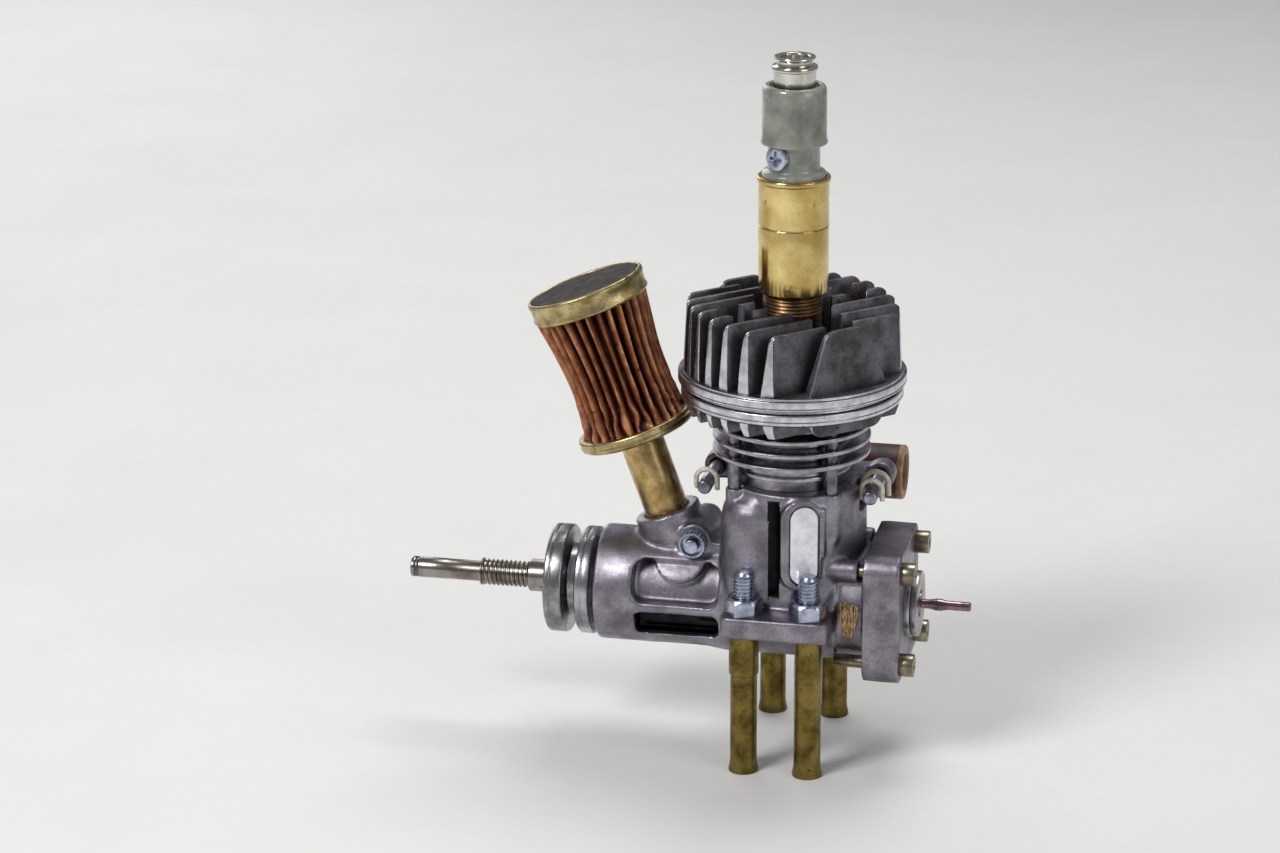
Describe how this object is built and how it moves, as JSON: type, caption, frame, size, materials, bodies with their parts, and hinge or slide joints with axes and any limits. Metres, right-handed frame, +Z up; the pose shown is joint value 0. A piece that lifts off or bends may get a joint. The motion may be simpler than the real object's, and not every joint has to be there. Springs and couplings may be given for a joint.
{
  "type": "miniature two-stroke aircraft engine",
  "caption": "Miniature air-cooled two-stroke engine with a finned head, a leaning pleated intake filter, a prop shaft, a rear starter shaft and tube legs.",
  "frame": {"origin": "where the crank axis and the cylinder axis cross, the centre of the rectangle of the four lug studs", "axes": "-X along the crankshaft towards the propeller end, +X to the rear cover, +Z up the cylinder to the terminal, -Y the side with the plate"},
  "size_m": [0.1361, 0.0602, 0.168],
  "materials": {
    "cast_aluminium": "sand-cast, grainy, oily tarnish in the corners",
    "bare_plate": "pearly enamel, bare",
    "turned_aluminium": "turned, fine rings and nicks",
    "head_casting": "sand-cast fins with machined edges",
    "bearing_steel": "ground",
    "liner_steel": "honed",
    "gasket_copper": "annealed copper",
    "black_bolt": "blackened",
    "bronze": "threaded, dark",
    "sleeve_brass": "polished with brown tarnish",
    "insulator_plastic": "translucent grey-green moulding",
    "nickel": "bright nickel",
    "zinc": "blue-white zinc",
    "leg_brass": "dull olive gold with fine rings",
    "tube_brass": "brushed",
    "filter_brass": "aged, pitted, olive patina",
    "pleated_gauze": "pleated, red-brown with orange ridges",
    "filter_felt": "dark rough pad",
    "core_steel": "plain",
    "yellow_zinc": "yellow zinc",
    "retainer_steel": "turned",
    "fibre": "frayed tan fibre",
    "gasket_paper": "oiled",
    "pin_steel": "blued ends",
    "hook_wire": "worn cream coat",
    "coupler_rubber": "maroon with a tan rim",
    "shaft_steel": "ground, warm stains",
    "driver_steel": "turned, worn",
    "spring_steel": "dark",
    "piston_aluminium": "turned",
    "rod_aluminium": "forged",
    "bush_bronze": "plain bronze",
    "rear_shaft_steel": "pinkish tint"
  },
  "bodies": {
    "root": {"crankcase": "cast_aluminium", "name_plate": "bare_plate", "nose_collar": "turned_aluminium", "front_bearing": "bearing_steel", "rear_bearing": "bearing_steel", "cylinder_liner": "liner_steel", "cylinder_jacket": "turned_aluminium", "lower_ring": "turned_aluminium", "head_gasket": "gasket_copper", "combustion_button": "turned_aluminium", "cylinder_head": "head_casting", "head_bolts": "black_bolt", "plug_collar": "bronze", "brass_sleeve": "sleeve_brass", "insulator": "insulator_plastic", "clamp_screw": "zinc", "contact_pin": "nickel", "terminal": "nickel", "lug_studs": "zinc", "lug_nuts": "zinc", "leg_front_left": "leg_brass", "leg_front_right": "leg_brass", "leg_rear_left": "leg_brass", "leg_rear_right": "leg_brass", "intake_tube": "tube_brass", "filter_base": "filter_brass", "filter_element": "pleated_gauze", "filter_core": "core_steel", "filter_cap": "filter_brass", "filter_pad": "filter_felt", "pinch_bolt": "zinc", "pinch_washer": "zinc", "pinch_nut": "zinc", "rear_cover": "cast_aluminium", "cover_screws": "yellow_zinc", "shaft_retainer": "retainer_steel", "one_way_bearing": "bearing_steel", "fibre_tuft": "fibre", "exhaust_gasket": "gasket_paper", "exhaust_manifold": "cast_aluminium", "exhaust_pins": "pin_steel", "exhaust_hooks": "hook_wire", "exhaust_coupler": "coupler_rubber"},
    "crank": {"crankshaft": "shaft_steel", "driver_cone": "driver_steel", "prop_driver": "driver_steel", "shaft_circlip": "spring_steel"},
    "piston": {"piston": "piston_aluminium", "piston_ring": "spring_steel", "wrist_pin": "bearing_steel", "wrist_clips": "spring_steel"},
    "rod": {"connecting_rod": "rod_aluminium", "rod_bushes": "bush_bronze"},
    "starter": {"starter_shaft": "rear_shaft_steel", "drive_disc": "bearing_steel"}
  },
  "joints": [
    {"name": "crank_spin", "type": "hinge", "parent": "root", "child": "crank", "pos_m": [0, 0, 0], "axis": [-1, 0, 0], "continuous": true},
    {"name": "piston_slide", "type": "slide", "parent": "root", "child": "piston", "axis": [0, 0, 1], "range_m": [0, 0.014]},
    {"name": "rod_swing", "type": "hinge", "parent": "piston", "child": "rod", "pos_m": [0, 0, 0.02], "axis": [1, 0, 0], "range_deg": [-15, 15]},
    {"name": "starter_spin", "type": "hinge", "parent": "root", "child": "starter", "pos_m": [0, 0, 0], "axis": [-1, 0, 0], "continuous": true}
  ]
}
